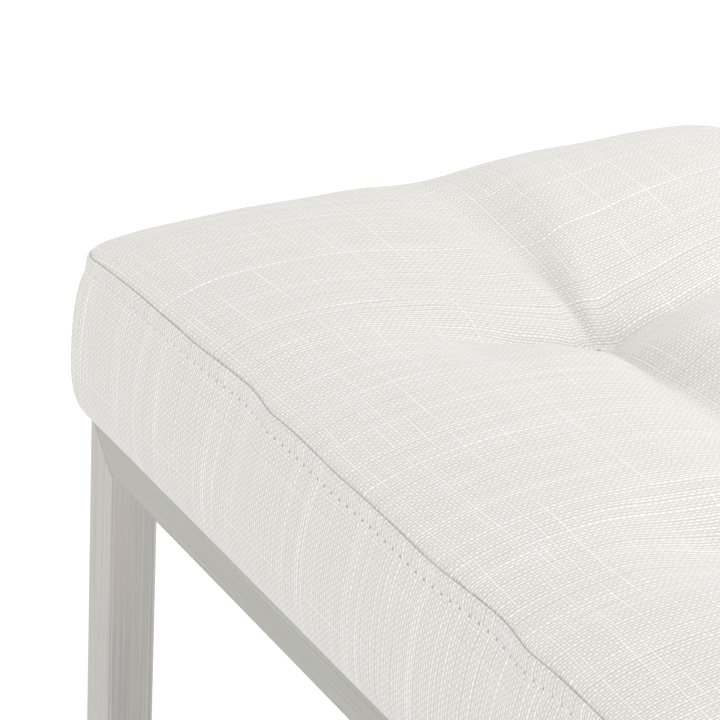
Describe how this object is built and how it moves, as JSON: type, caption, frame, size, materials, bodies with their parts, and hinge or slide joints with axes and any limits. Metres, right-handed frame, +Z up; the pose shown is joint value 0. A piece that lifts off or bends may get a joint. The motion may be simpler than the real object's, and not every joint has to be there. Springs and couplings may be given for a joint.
{
  "type": "piano bench",
  "caption": "Fixed-height piano bench with a tufted, fabric-covered box cushion bolted to a welded frame of square brushed-steel tube, standing on screw-in levelling feet.",
  "frame": {"origin": "middle of the bench at floor level", "axes": "+X along the bench's length, -Y towards its front, +Z up"},
  "size_m": [0.786, 0.3796, 0.5021],
  "materials": {
    "frame_steel": "satin",
    "zinc_steel": "satin",
    "foot_plastic": "matte",
    "plywood": "matte",
    "foam": "matte",
    "wadding": "matte",
    "seat_cloth": "matte",
    "dust_cloth": "matte",
    "twine": "matte"
  },
  "bodies": {
    "bench": {"leg_front_left": "frame_steel", "leg_front_right": "frame_steel", "leg_rear_left": "frame_steel", "leg_rear_right": "frame_steel", "rail_front": "frame_steel", "rail_rear": "frame_steel", "rail_left": "frame_steel", "rail_right": "frame_steel", "corner_plate_front_left": "frame_steel", "corner_plate_front_right": "frame_steel", "corner_plate_rear_left": "frame_steel", "corner_plate_rear_right": "frame_steel", "foot_insert_front_left": "foot_plastic", "foot_insert_front_right": "foot_plastic", "foot_insert_rear_left": "foot_plastic", "foot_insert_rear_right": "foot_plastic", "seat_bolt_front_left": "zinc_steel", "seat_bolt_front_right": "zinc_steel", "seat_bolt_rear_left": "zinc_steel", "seat_bolt_rear_right": "zinc_steel", "t_nut_front_left": "zinc_steel", "t_nut_front_right": "zinc_steel", "t_nut_rear_left": "zinc_steel", "t_nut_rear_right": "zinc_steel", "seat_board": "plywood", "tuft_anchor_1": "zinc_steel", "tuft_anchor_2": "zinc_steel", "tuft_anchor_3": "zinc_steel", "tuft_tie_1": "twine", "tuft_tie_2": "twine", "tuft_tie_3": "twine", "dust_cover": "dust_cloth", "foam_core": "foam", "wadding": "wadding", "cover_boxing": "seat_cloth", "cover_top": "seat_cloth"},
    "glide_front_left": {"glide_pad_front_left": "foot_plastic", "glide_stud_front_left": "zinc_steel"},
    "glide_front_right": {"glide_pad_front_right": "foot_plastic", "glide_stud_front_right": "zinc_steel"},
    "glide_rear_left": {"glide_pad_rear_left": "foot_plastic", "glide_stud_rear_left": "zinc_steel"},
    "glide_rear_right": {"glide_pad_rear_right": "foot_plastic", "glide_stud_rear_right": "zinc_steel"}
  },
  "joints": [
    {"name": "level_front_left", "type": "slide", "parent": "bench", "child": "glide_front_left", "axis": [0, 0, -1], "range_m": [0, 0.01]},
    {"name": "level_front_right", "type": "slide", "parent": "bench", "child": "glide_front_right", "axis": [0, 0, -1], "range_m": [0, 0.01]},
    {"name": "level_rear_left", "type": "slide", "parent": "bench", "child": "glide_rear_left", "axis": [0, 0, -1], "range_m": [0, 0.01]},
    {"name": "level_rear_right", "type": "slide", "parent": "bench", "child": "glide_rear_right", "axis": [0, 0, -1], "range_m": [0, 0.01]}
  ]
}
